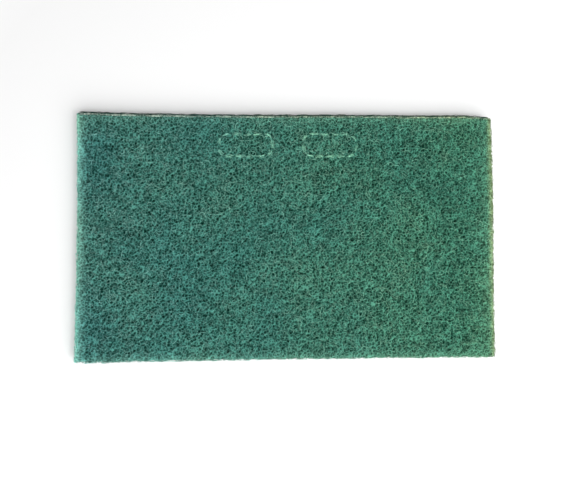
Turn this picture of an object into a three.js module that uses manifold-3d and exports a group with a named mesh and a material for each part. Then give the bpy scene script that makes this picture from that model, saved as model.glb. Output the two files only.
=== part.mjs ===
// A rectangular floor scrubbing pad for an orbital floor machine: one slab of lofty, open
// non-woven web, cut to size with a die. Near its back edge the die has also perforated two
// ovals, whose plugs are still held in place by narrow bridges of web.
// Sizes are in millimetres and +Z is up. The pad lies flat, with its origin at the middle of its
// underside. +X runs along the pad and +Y runs across it, towards the two ovals.

import * as THREE from "three";
import { mergeVertices } from "three/addons/utils/BufferGeometryUtils.js";
import Module from "manifold-3d";

// The slab
const PAD_LENGTH = 609.6; // 24 in
const PAD_WIDTH = 355.6; // 14 in
const PAD_THICKNESS = 25.4; // 1 in of loft
const CORNER_RADIUS = 4;

// How far the middle of each cut edge lies outside a straight cut, or inside it if negative,
// and how far two of them also sway: in over their first half and out over their second
const LEFT_BOW = -1.2;
const RIGHT_BOW = 0.8;
const RIGHT_SWAY = 0.8;
const FRONT_BOW = -1;
const BACK_BOW = -0.4;
const BACK_SWAY = 1.3;

// The die crushes the web beside a cut, so that both faces fall away towards the cut edge
const RIM_REACH = 9; // how far in from the cut a face begins to fall
const RIM_DROP = 4.5; // how far the top face has fallen at the cut
const UNDER_RIM_DROP = 2; // and how far the underside has risen there
const END_RIM_REACH = 13; // the right end is the web's own thinner margin
const END_RIM_DROP = 6.5;
const RIM_BEND = 1 / 3; // where a rim has its one bend, as a share of its reach from the cut
const RIM_ROWS = 2; // rows of points outside a rim's inner edge: at the cut and at the bend
const WALL_RAGGEDNESS = 0.6; // how far the torn fibres carry the wall in or out at half height

// The open web: both faces are pitted with pores between level lands of bonded fibre
const PORE_PITCH = 11; // spacing of the points that are either land or pore
const PORE_SHARE = 0.45; // share of those points that are pores
const PORE_LEAST_DEPTH = 0.8;
const PORE_MOST_DEPTH = 3.2;
const PORE_STRAY = 0.23; // how far a point may stray from its place in the rows, in pitches
const PORE_SEED = 20;
const LEVEL_MIDDLE = 12; // no pore lies nearer than this to the middle of a face

// The two perforated ovals
const OVAL_LENGTH = 78;
const OVAL_WIDTH = 34;
const OVAL_SPACING = 124; // centre to centre
const OVAL_SHIFT = -2.7; // of the pair, from the pad's centre line
const OVAL_INSET = 44.5; // from the back edge to the ovals' long axis

// One stroke of the perforating rule: a slit right through, in a groove pressed into the top
const STROKE_LENGTH = 12.7; // 1/2 in
const STROKE_BRIDGE = 2.2; // the least web left whole between two strokes
const SLIT_WIDTH = 0.9;
const GROOVE_WIDTH = 3.4;
const GROOVE_DEPTH = 1.6;
const STROKE_STEPS = 3; // straight pieces that a stroke is made of
const CUT_OVERSHOOT = 1; // how far a cutter stands proud of both faces

const WEB_COLOUR = 0x3d6f61;
const WEB_ROUGHNESS = 0.95;
const MERGE_DISTANCE = 1e-4; // points closer than this are one point

const wasm = await Module();
wasm.setup();

// Repeatable numbers from 0 to 1
function seededRandom(seed) {
  let state = seed;
  return () => {
    state = (state + 0x6d2b79f5) | 0;
    let t = Math.imul(state ^ (state >>> 15), 1 | state);
    t = (t + Math.imul(t ^ (t >>> 7), 61 | t)) ^ t;
    return ((t ^ (t >>> 14)) >>> 0) / 2 ** 32;
  };
}

// Places across one direction of the pad: at each end the cut, the rim's bend and the rim's
// inner edge, with even steps of about a pore's pitch between the two rims
function stations(extent, lowReach, highReach) {
  const low = -extent / 2;
  const high = extent / 2;
  const flat = extent - lowReach - highReach;
  const steps = Math.max(1, Math.round(flat / PORE_PITCH));
  const inner = Array.from({ length: steps + 1 }, (_, k) => low + lowReach + (flat * k) / steps);
  return [low, low + RIM_BEND * lowReach, ...inner, high - RIM_BEND * highReach, high];
}

// Whether one of `count` places across the pad lies on a rim or at its inner edge
function isOnRim(place, count) {
  return Math.min(place, count - 1 - place) <= RIM_ROWS;
}

// How far a face has fallen at a place that lies `inset` from a cut: a quarter of an ellipse
function rimFall(inset, reach, drop) {
  const share = Math.min(1, Math.max(0, inset / reach));
  return drop * (1 - Math.sqrt(1 - (1 - share) ** 2));
}

// The fall at a place of the plan: the end rims and the side rims meet in the corners
function fallAt(x, y, drop, endDrop) {
  const left = rimFall(PAD_LENGTH / 2 + x, RIM_REACH, drop);
  const right = rimFall(PAD_LENGTH / 2 - x, END_RIM_REACH, endDrop);
  const side = rimFall(PAD_WIDTH / 2 - Math.abs(y), RIM_REACH, drop);
  return Math.max(left, right, side);
}

// Rounds the plan's corners: each corner's square is drawn in to a quarter of a disc
function roundCorner(x, y) {
  const across = (Math.abs(x) - (PAD_LENGTH / 2 - CORNER_RADIUS)) / CORNER_RADIUS;
  const along = (Math.abs(y) - (PAD_WIDTH / 2 - CORNER_RADIUS)) / CORNER_RADIUS;
  if (across <= 0 || along <= 0) return [x, y];
  const discX = across * Math.sqrt(1 - along ** 2 / 2);
  const discY = along * Math.sqrt(1 - across ** 2 / 2);
  return [
    Math.sign(x) * (PAD_LENGTH / 2 - CORNER_RADIUS * (1 - discX)),
    Math.sign(y) * (PAD_WIDTH / 2 - CORNER_RADIUS * (1 - discY)),
  ];
}

// How far out an edge lies at a share of its length: a parabola and one turn of a sine
function wander(share, bow, sway) {
  return bow * (1 - (2 * share - 1) ** 2) - sway * Math.sin(2 * Math.PI * share);
}

// Carries a place of the true rectangle to the pad as cut, whose edges wander a little
function asCut(x, y) {
  const shareX = x / PAD_LENGTH + 0.5;
  const shareY = y / PAD_WIDTH + 0.5;
  const right = wander(shareY, RIGHT_BOW, RIGHT_SWAY);
  const left = wander(shareY, LEFT_BOW, 0);
  const back = wander(shareX, BACK_BOW, BACK_SWAY);
  const front = wander(shareX, FRONT_BOW, 0);
  return [
    x + right * shareX - left * (1 - shareX),
    y + back * shareY - front * (1 - shareY),
  ];
}

// One face of the pad as rows of points, with its pores sunk towards the pad's middle.
// `level` is the height of its lands and `inwards` is the direction of a pore's depth.
function webFace(columns, rows, level, inwards, drop, endDrop, random) {
  return columns.map((x, i) =>
    rows.map((y, j) => {
      const onRim = isOnRim(i, columns.length) || isOnRim(j, rows.length);
      const stray = onRim ? 0 : PORE_STRAY * PORE_PITCH;
      const strayX = (2 * random() - 1) * stray;
      const strayY = (2 * random() - 1) * stray;
      const mayBePore = !onRim && Math.hypot(x, y) > LEVEL_MIDDLE;
      const isPore = random() < PORE_SHARE && mayBePore;
      const depth = PORE_LEAST_DEPTH + random() * (PORE_MOST_DEPTH - PORE_LEAST_DEPTH);
      const sunk = (isPore ? depth : 0) + fallAt(x, y, drop, endDrop);
      const [planX, planY] = asCut(...roundCorner(x + strayX, y + strayY));
      return new THREE.Vector3(planX, planY, level + inwards * sunk);
    }),
  );
}

// The grid places round the plan's edge, anticlockwise seen from above
function edgeLoop(lastColumn, lastRow) {
  const loop = [];
  for (let i = 0; i < lastColumn; i++) loop.push([i, 0]);
  for (let j = 0; j < lastRow; j++) loop.push([lastColumn, j]);
  for (let i = lastColumn; i > 0; i--) loop.push([i, lastRow]);
  for (let j = lastRow; j > 0; j--) loop.push([0, j]);
  return loop;
}

// Closed mesh of the whole slab: top face, underside, and between them the cut wall, whose
// middle ring is carried in and out by the torn fibres
function slabGeometry() {
  const random = seededRandom(PORE_SEED);
  const columns = stations(PAD_LENGTH, RIM_REACH, END_RIM_REACH);
  const rows = stations(PAD_WIDTH, RIM_REACH, RIM_REACH);
  const top = webFace(columns, rows, PAD_THICKNESS, -1, RIM_DROP, END_RIM_DROP, random);
  const under = webFace(columns, rows, 0, 1, UNDER_RIM_DROP, UNDER_RIM_DROP, random);
  const positions = [];
  const triangle = (...corners) => corners.forEach((c) => positions.push(c.x, c.y, c.z));

  // Each cell of a face is split between its two higher-standing corners, so that a pore takes
  // no more of the lands round it than it has to
  for (let i = 0; i + 1 < columns.length; i++) {
    for (let j = 0; j + 1 < rows.length; j++) {
      for (const [face, outwards] of [[top, 1], [under, -1]]) {
        const [a, b, c, d] = [face[i][j], face[i + 1][j], face[i + 1][j + 1], face[i][j + 1]];
        const alongAC = outwards * (a.z + c.z - b.z - d.z) >= 0;
        const halves = alongAC ? [[a, b, c], [a, c, d]] : [[a, b, d], [b, c, d]];
        halves.forEach((half) => triangle(...(outwards > 0 ? half : half.reverse())));
      }
    }
  }

  const loop = edgeLoop(columns.length - 1, rows.length - 1);
  const middle = loop.map(([i, j]) => {
    const point = top[i][j].clone().lerp(under[i][j], 0.5);
    const out = new THREE.Vector2(point.x / PAD_LENGTH, point.y / PAD_WIDTH).normalize();
    const ragged = (2 * random() - 1) * WALL_RAGGEDNESS;
    return point.add(new THREE.Vector3(out.x * ragged, out.y * ragged, 0));
  });
  loop.forEach(([i, j], k) => {
    const next = (k + 1) % loop.length;
    const [nextI, nextJ] = loop[next];
    const rings = [
      [under[i][j], under[nextI][nextJ]],
      [middle[k], middle[next]],
      [top[i][j], top[nextI][nextJ]],
    ];
    for (let band = 0; band < 2; band++) {
      const [[a, b], [d, c]] = [rings[band], rings[band + 1]];
      triangle(a, b, c);
      triangle(a, c, d);
    }
  });

  const geometry = new THREE.BufferGeometry();
  geometry.setAttribute("position", new THREE.Float32BufferAttribute(positions, 3));
  return geometry;
}

// The outline of one oval, anticlockwise from the left end of its front side
function ovalOutline(centreX, centreY) {
  const radius = OVAL_WIDTH / 2;
  const reach = (OVAL_LENGTH - OVAL_WIDTH) / 2;
  const path = new THREE.Path();
  path.moveTo(centreX - reach, centreY - radius);
  path.lineTo(centreX + reach, centreY - radius);
  path.absarc(centreX + reach, centreY, radius, -Math.PI / 2, Math.PI / 2, false);
  path.lineTo(centreX - reach, centreY + radius);
  path.absarc(centreX - reach, centreY, radius, Math.PI / 2, (3 * Math.PI) / 2, false);
  return path;
}

// Cutter for one stroke: the slit's section, flared at the top into the groove, carried along
// the outline from one share of its length to another
function strokeCutter(outline, from, to) {
  const slit = SLIT_WIDTH / 2;
  const groove = GROOVE_WIDTH / 2;
  const proud = PAD_THICKNESS + CUT_OVERSHOOT;
  const section = [
    [-slit, -CUT_OVERSHOOT],
    [slit, -CUT_OVERSHOOT],
    [slit, PAD_THICKNESS - GROOVE_DEPTH],
    [groove, PAD_THICKNESS],
    [groove, proud],
    [-groove, proud],
    [-groove, PAD_THICKNESS],
    [-slit, PAD_THICKNESS - GROOVE_DEPTH],
  ].map(([side, height]) => new THREE.Vector2(side, height));
  const rings = Array.from({ length: STROKE_STEPS + 1 }, (_, k) => {
    const share = from + ((to - from) * k) / STROKE_STEPS;
    const point = outline.getPointAt(share);
    const along = outline.getTangentAt(share);
    return section.map(
      ({ x: side, y: height }) =>
        new THREE.Vector3(point.x - along.y * side, point.y + along.x * side, height),
    );
  });

  const positions = [];
  const triangle = (...corners) => corners.forEach((c) => positions.push(c.x, c.y, c.z));
  for (let k = 0; k < STROKE_STEPS; k++) {
    section.forEach((_, n) => {
      const m = (n + 1) % section.length;
      triangle(rings[k][n], rings[k][m], rings[k + 1][m]);
      triangle(rings[k][n], rings[k + 1][m], rings[k + 1][n]);
    });
  }
  for (const [a, b, c] of THREE.ShapeUtils.triangulateShape(section, [])) {
    triangle(rings[0][a], rings[0][c], rings[0][b]);
    triangle(rings[STROKE_STEPS][a], rings[STROKE_STEPS][b], rings[STROKE_STEPS][c]);
  }
  const geometry = new THREE.BufferGeometry();
  geometry.setAttribute("position", new THREE.Float32BufferAttribute(positions, 3));
  return geometry;
}

// The strokes round one oval: as many as fit with a bridge between them, evenly spaced
function ovalCutters(centreX, centreY) {
  const outline = ovalOutline(centreX, centreY);
  const length = outline.getLength();
  const count = Math.floor(length / (STROKE_LENGTH + STROKE_BRIDGE));
  const half = STROKE_LENGTH / 2 / length;
  return Array.from({ length: count }, (_, k) => {
    const middle = (k + 0.5) / count;
    return strokeCutter(outline, middle - half, middle + half);
  });
}

function toSolid(geometry) {
  const merged = mergeVertices(geometry, MERGE_DISTANCE);
  return new wasm.Manifold(
    new wasm.Mesh({
      numProp: 3,
      vertProperties: merged.attributes.position.array,
      triVerts: new Uint32Array(merged.index.array),
    }),
  );
}

function toGeometry(solid) {
  const { vertProperties, triVerts } = solid.getMesh();
  const geometry = new THREE.BufferGeometry();
  geometry.setAttribute("position", new THREE.BufferAttribute(vertProperties, 3));
  geometry.setIndex(new THREE.BufferAttribute(triVerts, 1));
  return geometry;
}

// The whole pad, with its box centred on the origin in plan
function scrubPad() {
  const ovalY = PAD_WIDTH / 2 - OVAL_INSET;
  const cutters = [-OVAL_SPACING / 2, OVAL_SPACING / 2].flatMap((x) =>
    ovalCutters(OVAL_SHIFT + x, ovalY),
  );
  const solid = cutters.reduce(
    (slab, cutter) => slab.subtract(toSolid(cutter)),
    toSolid(slabGeometry()),
  );
  const geometry = toGeometry(solid);
  geometry.computeBoundingBox();
  const centre = geometry.boundingBox.getCenter(new THREE.Vector3());
  geometry.translate(-centre.x, -centre.y, 0);
  geometry.computeVertexNormals();
  const web = new THREE.MeshStandardMaterial({
    color: WEB_COLOUR,
    roughness: WEB_ROUGHNESS,
    metalness: 0,
    flatShading: true,
  });
  const mesh = new THREE.Mesh(geometry, web);
  mesh.name = "scrub_pad";
  return mesh;
}

const part = new THREE.Group();
part.add(scrubPad());

export default part;
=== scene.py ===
"""A rectangular floor scrubbing pad of thick, open, curly non-woven web, dressed round its solid.

The web is built as it is made: a spongy body whose faces are full of pores, under loose curly
strands that run round the pores and over each other. Sizes are in metres, in the solid's frame:
+X along the pad, +Y towards the two perforated ovals, +Z up, with the floor at zero.
"""

import math

import bpy
import numpy as np
from mathutils import Matrix, Vector


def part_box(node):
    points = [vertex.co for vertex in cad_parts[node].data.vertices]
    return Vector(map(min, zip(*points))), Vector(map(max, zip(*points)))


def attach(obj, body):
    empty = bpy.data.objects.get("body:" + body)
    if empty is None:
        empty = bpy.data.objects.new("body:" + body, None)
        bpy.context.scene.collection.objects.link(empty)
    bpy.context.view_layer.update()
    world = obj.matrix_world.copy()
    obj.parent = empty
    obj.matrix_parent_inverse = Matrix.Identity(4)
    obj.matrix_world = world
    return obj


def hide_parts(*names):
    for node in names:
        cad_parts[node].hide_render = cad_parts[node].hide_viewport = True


bl_info = {
    "name": "Scrub pad",
    "version": (1, 0, 0),
    "blender": (4, 5, 0),
    "location": "3D View > Sidebar > Scrub pad",
    "description": "Builds the web, the strands and the stage of a floor scrubbing pad",
    "category": "Add Mesh",
}

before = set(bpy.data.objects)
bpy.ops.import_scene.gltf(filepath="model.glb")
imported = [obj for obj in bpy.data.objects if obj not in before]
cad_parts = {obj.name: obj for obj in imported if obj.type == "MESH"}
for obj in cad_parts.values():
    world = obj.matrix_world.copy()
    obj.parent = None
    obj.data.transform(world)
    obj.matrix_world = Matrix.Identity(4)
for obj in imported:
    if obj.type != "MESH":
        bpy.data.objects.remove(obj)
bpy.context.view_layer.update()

PAD_NODE = "scrub_pad"
PAD_LOW, PAD_HIGH = (np.array(corner, dtype=float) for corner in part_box(PAD_NODE))
MM = 0.001
BAKE_UV = "OFBake"


def number(name, default, description, unit="NONE"):
    """A setting that is a number, or a few of them where the default has several."""
    given = {"name": name, "description": description, "unit": unit, "default": default}
    if isinstance(default, tuple):
        return bpy.props.FloatVectorProperty(size=len(default), **given)
    return bpy.props.FloatProperty(**given)


def length(name, default, description):
    """A setting that is a length, or a few lengths."""
    return number(name, default, description, unit="LENGTH")


def colour(name, default, description):
    """A setting that is a colour."""
    return bpy.props.FloatVectorProperty(
        name=name, description=description, subtype="COLOR", size=3, default=default
    )


class PadShape(bpy.types.PropertyGroup):
    """The pad's outline, rims and ovals."""

    trim: length(
        "Trim", 0.75 * MM, "How far the straight outline lies inside the solid's box"
    )
    corner: length("Corner radius", 4 * MM, "Radius of the outline's corners")
    left_wander: length(
        "Left wander", (-2.0 * MM, 0.0),
        "How far the left edge bows outwards, and how far it sways along its length",
    )
    right_wander: length("Right wander", (0.8 * MM, 0.8 * MM), "The same for the right edge")
    front_wander: length("Front wander", (-1.0 * MM, 0.0), "The same for the front edge")
    back_wander: length("Back wander", (-0.4 * MM, 1.3 * MM), "The same for the back edge")
    rim_reach: length("Rim reach", 9 * MM, "How far in from a cut the faces begin to fall")
    rim_drop: length("Rim drop", 4.5 * MM, "How far the top has fallen at a cut")
    end_reach: length(
        "End rim reach", 13 * MM, "How far in the thinner margin at the right end begins"
    )
    end_drop: length("End rim drop", 6.5 * MM, "How far the top has fallen at the right end")
    under_drop: length("Underside rise", 2 * MM, "How far the underside has risen at a cut")
    oval_length: length("Oval length", 78 * MM, "Length of a perforated oval")
    oval_width: length("Oval width", 33 * MM, "Width of a perforated oval")
    oval_spacing: length(
        "Oval spacing", 122.5 * MM, "From the middle of one oval to the middle of the other"
    )
    oval_shift: length("Oval shift", -2.7 * MM, "Of the pair, along the pad")
    oval_inset: length("Oval inset", 44.5 * MM, "From the back edge to the ovals' long axis")
    stroke: length("Stroke", 12.7 * MM, "Length of one cut of the perforation")
    bridge: length("Bridge", 2.1 * MM, "Least web left whole between two cuts")


class WebLook(bpy.types.PropertyGroup):
    """The sizes and colours of the web."""

    body_step: length("Body step", 2.7 * MM, "Spacing of the body's grid")
    body_inset: length(
        "Body inset", 2.2 * MM, "How far the body lies below the strands' outer side"
    )
    pore_pitch: length("Pore pitch", 4.0 * MM, "Spacing of the pores")
    pore_radius: length("Pore radius", 1.25 * MM, "Middling radius of a pore")
    pore_depth: length("Pore depth", 3.0 * MM, "How far a full pore sinks into the body")
    pore_push: length("Pore push", 1.3 * MM, "How far a pore pushes the strands aside")
    strand_radius: length("Strand radius", 0.31 * MM, "Radius of one curly strand")
    strand_step: length(
        "Strand step", 1.9 * MM, "Length of one straight piece of a curly strand"
    )
    strand_pieces: bpy.props.IntProperty(
        name="Strand pieces", default=9,
        description="How many straight pieces make a curly strand",
    )
    # The body darkens towards this colour with its depth value, in the pores and on the wall:
    # painted shade
    deep_colour: colour(
        "Deep colour", (0.001, 0.016, 0.010), "Colour of the body deep in a pore"
    )
    body_colour: colour(
        "Body colour", (0.088, 0.308, 0.248), "Colour of the body between the pores"
    )
    # Strands lying deep in the web reach this colour partly through painted shade, as their tone
    # falls with depth
    dark_colour: colour(
        "Dark strand", (0.003, 0.070, 0.050), "Colour of the strands with most resin"
    )
    pale_colour: colour(
        "Pale strand", (0.308, 0.672, 0.566), "Colour of the strands with least resin"
    )
    # Painted shade: the strands below the back edge take this grey to stand for the shadow along
    # that edge
    foot_shade_colour: colour(
        "Foot shade strand", (0.230, 0.260, 0.230),
        "Colour of the shade-painted strands below the back edge",
    )
    # Painted highlight: the pale strands on the back edge's crest stand for light catching that
    # crest
    crest_highlight_colour: colour(
        "Crest highlight strand", (0.700, 0.880, 0.740),
        "Colour of the bleached strands along the back edge's crest",
    )
    # At the rims this paleness is partly crushed fibre and partly painted light, the glow through
    # the thin cut edges
    rim_colour: colour(
        "Rim colour", (0.430, 0.960, 0.730), "Colour of the crushed strands at a cut edge"
    )
    end_colour: colour(
        "End colour", (0.290, 0.400, 0.200), "Colour of the thin margin at the right end"
    )


class StageLook(bpy.types.PropertyGroup):
    """The camera, the lamps and the floor."""

    focal_px: number("Focal length", 600.0, "Focal length in pixels of the photograph")
    camera_place: length(
        "Camera place", (-0.069, -0.0445, 0.8877), "Where the camera stands"
    )
    camera_turn: bpy.props.FloatVectorProperty(
        name="Camera turn", size=3, subtype="EULER",
        default=tuple(math.radians(a) for a in (-2.54, 3.97, 0.21)),
        description="How the pad is turned as the camera sees it, about X, then Y, then Z",
    )
    key_power: number(
        "Key power", 72.0, "Power of the large lamp at the front right", unit="POWER"
    )
    high_power: number(
        "High power", 7.5,
        "Power of the small lamp above, which darkens the shadow beside the pad", unit="POWER",
    )
    sky: number("Sky", 0.33, "Strength of the even light from all round")
    floor_lift: number(
        "Floor lift", 0.09,
        "Light that the floor gives off to the eye, so that its lit part is white",
    )


NOISE_TABLE = 257


def smooth_noise(x, y, wavelength, seed):
    """Noise from -1 to 1: random heights on a square lattice, blended by a smooth step."""
    table = np.random.default_rng(seed).uniform(-1.0, 1.0, (NOISE_TABLE, NOISE_TABLE))
    u = x / wavelength
    v = y / wavelength
    i = np.floor(u).astype(int)
    j = np.floor(v).astype(int)
    share_u = (u - i) ** 2 * (3.0 - 2.0 * (u - i))
    share_v = (v - j) ** 2 * (3.0 - 2.0 * (v - j))
    i0, i1 = i % NOISE_TABLE, (i + 1) % NOISE_TABLE
    j0, j1 = j % NOISE_TABLE, (j + 1) % NOISE_TABLE
    near = table[i0, j0] * (1.0 - share_u) + table[i1, j0] * share_u
    far = table[i0, j1] * (1.0 - share_u) + table[i1, j1] * share_u
    return near * (1.0 - share_v) + far * share_v


def half_sizes(shape):
    """Half the length and half the width of the straight outline."""
    half = (PAD_HIGH - PAD_LOW)[:2] / 2.0 - shape.trim
    return half[0], half[1]


def rounded(x, y, shape):
    """Plan places with the corners rounded: each corner's square is drawn into a quarter disc."""
    half_x, half_y = half_sizes(shape)
    radius = shape.corner
    across = (np.abs(x) - (half_x - radius)) / radius
    along = (np.abs(y) - (half_y - radius)) / radius
    corner = (across > 0.0) & (along > 0.0)
    disc_x = across * np.sqrt(np.clip(1.0 - along ** 2 / 2.0, 0.0, 1.0))
    disc_y = along * np.sqrt(np.clip(1.0 - across ** 2 / 2.0, 0.0, 1.0))
    round_x = np.sign(x) * (half_x - radius * (1.0 - disc_x))
    round_y = np.sign(y) * (half_y - radius * (1.0 - disc_y))
    return np.where(corner, round_x, x), np.where(corner, round_y, y)


def wander(share, bow_and_sway):
    """Outward place of an edge along its length: a parabola plus one turn of a sine."""
    bow, sway = bow_and_sway
    return bow * (1.0 - (2.0 * share - 1.0) ** 2) + sway * np.sin(2.0 * np.pi * (share - 0.5))


# The back edge swells before the right corner, as the photo shows
SHOULDER_RISE = 1.8 * MM
SHOULDER_PLACE = 258 * MM
SHOULDER_REACH = 36 * MM
SHOULDER_FADE = 4


def plan(x, y, shape):
    """Carries places of the true rectangle to the pad as cut, with its wandering edges."""
    half_x, half_y = half_sizes(shape)
    share_x = np.clip(x / (2.0 * half_x) + 0.5, 0.0, 1.0)
    share_y = np.clip(y / (2.0 * half_y) + 0.5, 0.0, 1.0)
    x, y = rounded(x, y, shape)
    shoulder = SHOULDER_RISE * np.exp(-(((x - SHOULDER_PLACE) / SHOULDER_REACH) ** 2))
    right = wander(share_y, shape.right_wander) * share_x
    left = wander(share_y, shape.left_wander) * (1.0 - share_x)
    back = wander(share_x, shape.back_wander) * share_y + shoulder * share_y ** SHOULDER_FADE
    front = wander(share_x, shape.front_wander) * (1.0 - share_y)
    return x + right - left, y + back - front


def edge_distance(x, y, shape):
    """Distance of plan places from the nearest cut, not counting the corners' rounding."""
    half_x, half_y = half_sizes(shape)
    return np.minimum(half_x - np.abs(x), half_y - np.abs(y))


def rim_fall(inset, reach, drop):
    """Fall of a face near a cut: a quarter of an ellipse."""
    share = np.clip(inset / reach, 0.0, 1.0)
    return drop * (1.0 - np.sqrt(1.0 - (1.0 - share) ** 2))


def top_level(x, y, shape):
    """Height of the top of the strands: the pad's thickness less the fall of the rims."""
    half_x, half_y = half_sizes(shape)
    left = rim_fall(half_x + x, shape.rim_reach, shape.rim_drop)
    right = rim_fall(half_x - x, shape.end_reach, shape.end_drop)
    side = rim_fall(half_y - np.abs(y), shape.rim_reach, shape.rim_drop)
    return PAD_HIGH[2] - np.maximum(np.maximum(left, right), side)


def under_level(x, y, shape):
    """Height of the underside of the strands."""
    return PAD_LOW[2] + rim_fall(edge_distance(x, y, shape), shape.rim_reach, shape.under_drop)


# How far a pore strays from the middle of its cell, as a share of half the cell
PORE_STRAY = 0.42
# Share of the cells that have no pore
PORE_GAP_SHARE = 0.06
PORE_LEAST_RADIUS = 0.7
PORE_RADIUS_SPREAD = 0.6
PORE_LEAST_STRENGTH = 0.5
# Keeps the push finite in the middle of a pore
PORE_PUSH_EASE = 0.3
PORE_WARP = 1.4 * MM
PORE_WARP_LENGTH = 7 * MM


def pores(x, y, look, seed):
    """Depth of the pores, from 0 to 1, and the way they push strands aside, at plan places.

    One pore stands at a random place in each cell of a square lattice. Its depth is a bell
    curve of the distance, and its push points away from its middle and is strongest at its rim.
    The places are first stirred by smooth noise, so that no pore is round.
    """
    pitch = look.pore_pitch
    warped_x = x + PORE_WARP * smooth_noise(x, y, PORE_WARP_LENGTH, seed + 1)
    warped_y = y + PORE_WARP * smooth_noise(x, y, PORE_WARP_LENGTH, seed + 2)
    table = np.random.default_rng(seed).random((NOISE_TABLE, NOISE_TABLE, 4))
    cell_i = np.floor(warped_x / pitch).astype(int)
    cell_j = np.floor(warped_y / pitch).astype(int)
    depth = np.zeros_like(x)
    push_x = np.zeros_like(x)
    push_y = np.zeros_like(x)
    for di in (-1, 0, 1):
        for dj in (-1, 0, 1):
            i = cell_i + di
            j = cell_j + dj
            draw = table[i % NOISE_TABLE, j % NOISE_TABLE]
            away_x = warped_x - (i + 0.5 + PORE_STRAY * (2.0 * draw[..., 0] - 1.0)) * pitch
            away_y = warped_y - (j + 0.5 + PORE_STRAY * (2.0 * draw[..., 1] - 1.0)) * pitch
            radius = look.pore_radius * (PORE_LEAST_RADIUS + PORE_RADIUS_SPREAD * draw[..., 2])
            strength = PORE_LEAST_STRENGTH + (1.0 - PORE_LEAST_STRENGTH) * draw[..., 3]
            strength = np.where(draw[..., 3] < PORE_GAP_SHARE, 0.0, strength)
            ratio = np.hypot(away_x, away_y) / radius
            depth = np.maximum(depth, strength * np.exp(-(ratio ** 2)))
            push = strength * look.pore_push * np.exp(-0.5 * ratio ** 2)
            scale = push / (radius * (ratio + PORE_PUSH_EASE))
            push_x += away_x * scale
            push_y += away_y * scale
    return depth, push_x, push_y


def oval_middles(shape):
    """The middles of the two ovals."""
    half_y = half_sizes(shape)[1]
    y = half_y - shape.oval_inset
    spread = shape.oval_spacing / 2.0
    return [(shape.oval_shift - spread, y), (shape.oval_shift + spread, y)]


def oval_length_round(shape):
    """Length of an oval's outline: two straight sides and two half circles."""
    return 2.0 * (shape.oval_length - shape.oval_width) + math.pi * shape.oval_width


# Below 1, the half circles at an oval's ends swell towards their corners
OVAL_SQUARENESS = 0.8


def oval_points(along, middle, shape):
    """Places and directions on an oval's outline at lengths along it, anticlockwise."""
    radius = shape.oval_width / 2.0
    side = shape.oval_length - shape.oval_width
    arc = math.pi * radius
    along = np.mod(along, 2.0 * (side + arc))
    second = along >= side + arc
    part = np.where(second, along - side - arc, along)
    turn = np.clip((part - side) / radius, 0.0, math.pi)
    bulge = np.abs(np.sin(turn)) ** OVAL_SQUARENESS
    height = np.sign(np.cos(turn)) * np.abs(np.cos(turn)) ** OVAL_SQUARENESS
    x = np.where(part < side, part - side / 2.0, side / 2.0 + radius * bulge)
    y = -radius * height
    flip = np.where(second, -1.0, 1.0)
    return (
        middle[0] + flip * x,
        middle[1] + flip * y,
        flip * np.cos(turn),
        flip * np.sin(turn),
    )


def stroke_count(shape):
    """How many cuts of the perforation fit round an oval."""
    return int(oval_length_round(shape) // (shape.stroke + shape.bridge))


GROOVE_HALF_WIDTH = 1.7 * MM
GROOVE_DEPTH = 0.8 * MM


def oval_share(x, y, shape):
    """How near plan places are to a cut of the ovals: 1 on its line, 0 away from it."""
    half_side = (shape.oval_length - shape.oval_width) / 2.0
    nearest = np.full_like(x, 1.0)
    for middle in oval_middles(shape):
        beyond = np.clip(np.abs(x - middle[0]) - half_side, 0.0, None)
        distance = np.abs(np.hypot(beyond, y - middle[1]) - shape.oval_width / 2.0)
        nearest = np.minimum(nearest, distance)
    return np.exp(-((nearest / GROOVE_HALF_WIDTH) ** 2))


def run_of(values, kind=np.float32):
    """Numbers as one plain run, the way Blender takes them."""
    return np.ascontiguousarray(values, dtype=kind).ravel()


def add_mesh(name, points, faces, smooth=True):
    """A new mesh object at the origin from arrays of points and of faces with equal sides."""
    mesh = bpy.data.meshes.new(name)
    mesh.vertices.add(len(points))
    mesh.vertices.foreach_set("co", run_of(points))
    mesh.loops.add(faces.size)
    mesh.loops.foreach_set("vertex_index", run_of(faces, np.int32))
    mesh.polygons.add(len(faces))
    starts = np.arange(0, faces.size, faces.shape[1], dtype=np.int32)
    mesh.polygons.foreach_set("loop_start", starts)
    mesh.update(calc_edges=True)
    mesh.polygons.foreach_set("use_smooth", np.full(len(faces), smooth))
    mesh.validate()
    obj = bpy.data.objects.new(name, mesh)
    bpy.context.collection.objects.link(obj)
    return obj


def add_values(obj, name, values):
    """A float attribute on the points of a mesh."""
    layer = obj.data.attributes.new(name, "FLOAT", "POINT")
    layer.data.foreach_set("value", run_of(values))


def add_uv(obj, uv):
    """The piece's own flat layout, one place for each corner of each face."""
    obj.data.uv_layers.new(name=BAKE_UV).data.foreach_set("uv", run_of(uv))


# How pale each rim is at its cut, and how far in the paleness falls to about a third
# Part of this paleness is painted light, the glow through the thin cut edges, strongest at the
# left; the rest is crushed fibre
RIMS = {
    "left": (2.3, 4.2 * MM),
    "right": (0.34, 11.0 * MM),
    "front": (0.38, 5.0 * MM),
    "back": (0.4, 5.0 * MM),
}
RIM_AT_FOOT = 0.4


def rim_share(points, shape):
    """How pale the web is at its rims, partly crushed fibre and partly painted light: each rim's
    strength dies away from its cut and down it.
    """
    half_x, half_y = half_sizes(shape)
    x = points[..., 0]
    y = points[..., 1]
    insets = {"left": half_x + x, "right": half_x - x, "front": half_y + y, "back": half_y - y}
    share = np.zeros_like(x)
    for side, (strength, reach) in RIMS.items():
        share = np.maximum(share, strength * np.exp(-np.clip(insets[side], 0.0, None) / reach))
    height = np.clip(points[..., 2] / PAD_HIGH[2], 0.0, 1.0)
    return share * (RIM_AT_FOOT + (1.0 - RIM_AT_FOOT) * height)


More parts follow.
